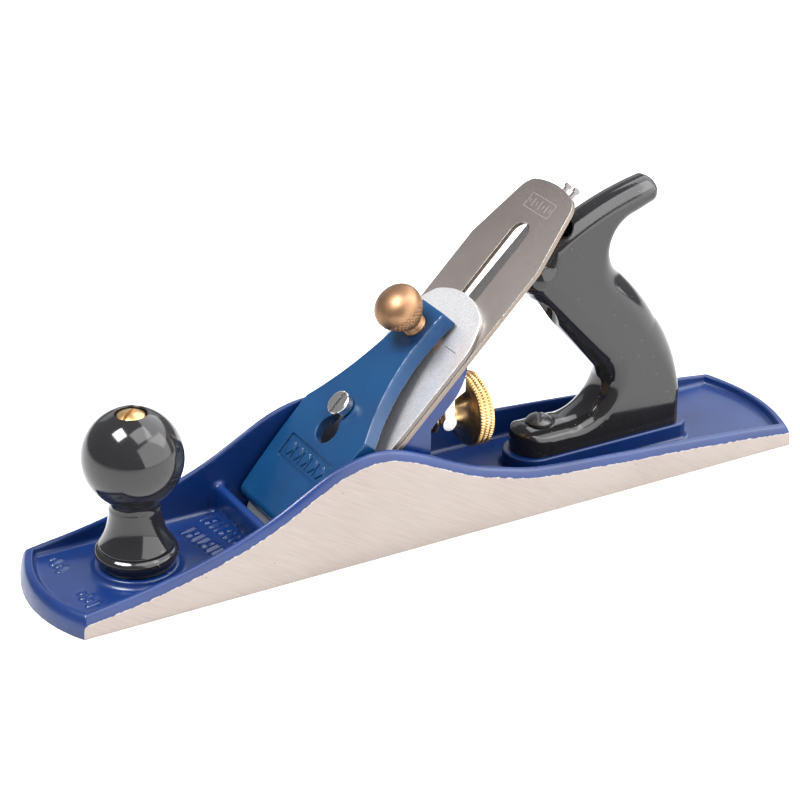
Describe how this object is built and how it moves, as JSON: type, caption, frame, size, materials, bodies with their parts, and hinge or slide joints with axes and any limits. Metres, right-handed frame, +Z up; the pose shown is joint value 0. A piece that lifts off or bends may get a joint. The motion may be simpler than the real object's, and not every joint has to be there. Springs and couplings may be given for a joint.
{
  "type": "bench plane",
  "caption": "Iron hand plane for wood with adjustable frog, double iron, lever cap with thumbscrew, brass depth wheel, round knob and closed rear handle.",
  "frame": {"origin": "centre of the sole's underside, where the plane rests", "axes": "+X towards the toe, the direction of cut; +Y to the plane's left; +Z up out of the sole"},
  "size_m": [0.3556, 0.0636, 0.1336],
  "materials": {
    "blue_paint": "gloss",
    "iron_steel": "fine brushed",
    "plain_steel": "satin",
    "nickel": "polished nickel",
    "dark_steel": "blackened",
    "brass": "satin, knurled",
    "black_plastic": "gloss"
  },
  "bodies": {
    "plane_body": {"body_casting": "blue_paint", "front_knob": "black_plastic", "knob_bolt": "plain_steel", "knob_nut": "brass", "rear_handle": "black_plastic", "handle_bolt": "plain_steel", "handle_nut": "brass", "handle_toe_screw": "dark_steel", "frog_seat_screws": "dark_steel", "frog_seat_washers": "dark_steel"},
    "frog": {"frog_casting": "blue_paint", "frog_adjust_clip": "plain_steel", "frog_clip_screw": "dark_steel", "yoke_pin": "plain_steel", "lateral_rivet": "plain_steel", "lever_cap_screw": "nickel"},
    "frog_adjuster": {"frog_adjust_screw": "dark_steel"},
    "wheel_carrier": {"depth_stud": "plain_steel"},
    "wheel": {"depth_wheel": "brass"},
    "yoke": {"yoke_lever": "plain_steel"},
    "iron_carrier": {"cap_iron_screw": "dark_steel"},
    "irons": {"cutting_iron": "iron_steel", "cap_iron": "iron_steel"},
    "lateral": {"lateral_lever": "plain_steel"},
    "roller": {"lateral_roller": "plain_steel"},
    "cap": {"lever_cap": "blue_paint"},
    "thumbscrew": {"lever_cap_thumbscrew": "brass"}
  },
  "joints": [
    {"name": "frog_slide", "type": "slide", "parent": "plane_body", "child": "frog", "axis": [1, 0, 0], "range_m": [-0.0015, 0.0015]},
    {"name": "frog_adjuster_turn", "type": "hinge", "parent": "frog", "child": "frog_adjuster", "pos_m": [0.005, 0, 0.0108], "axis": [1, 0, 0], "range_deg": [-541, 541]},
    {"name": "wheel_travel", "type": "slide", "parent": "frog", "child": "wheel_carrier", "axis": [1, 0, 0], "range_m": [-0.00092, 0.00138]},
    {"name": "wheel_spin", "type": "hinge", "parent": "wheel_carrier", "child": "wheel", "pos_m": [-0.015, 0, 0.0403], "axis": [1, 0, 0], "range_deg": [-460, 305]},
    {"name": "yoke_rock", "type": "hinge", "parent": "frog", "child": "yoke", "pos_m": [-0.0073, 0, 0.056], "axis": [0, 1, 0], "range_deg": [-5.2, 3.5]},
    {"name": "iron_depth", "type": "slide", "parent": "frog", "child": "iron_carrier", "axis": [0.7071, 0, -0.7071], "range_m": [-0.00149, 0.00098]},
    {"name": "iron_tilt", "type": "hinge", "parent": "iron_carrier", "child": "irons", "pos_m": [0.01762, 0, 0.05409], "axis": [0.7071, 0, 0.7071], "range_deg": [-1.1, 0.65]},
    {"name": "lateral_swing", "type": "hinge", "parent": "frog", "child": "lateral", "pos_m": [-0.00643, 0, 0.07813], "axis": [0.7071, 0, 0.7071], "range_deg": [-2.9, 5]},
    {"name": "roller_spin", "type": "hinge", "parent": "lateral", "child": "roller", "pos_m": [-0.00218, -0.00022, 0.0739], "axis": [0.7071, 0, 0.7071], "continuous": true},
    {"name": "lever_cap_slide", "type": "slide", "parent": "frog", "child": "cap", "axis": [-0.7071, 0, 0.7071], "range_m": [0, 0.0114]},
    {"name": "thumbscrew_turn", "type": "hinge", "parent": "cap", "child": "thumbscrew", "pos_m": [0.00517, 0, 0.08478], "axis": [0.6252, 0, 0.7804], "range_deg": [0, 540]}
  ],
  "couplings": [
    {"joint": "frog_adjuster_turn", "follows": "frog_slide", "rad_per_m": 6283.2},
    {"joint": "wheel_travel", "follows": "iron_depth", "ratio": -0.907},
    {"joint": "wheel_spin", "follows": "iron_depth", "rad_per_m": 5384.7},
    {"joint": "yoke_rock", "follows": "iron_depth", "rad_per_m": 57.803},
    {"joint": "iron_tilt", "follows": "lateral_swing", "ratio": -0.214}
  ]
}
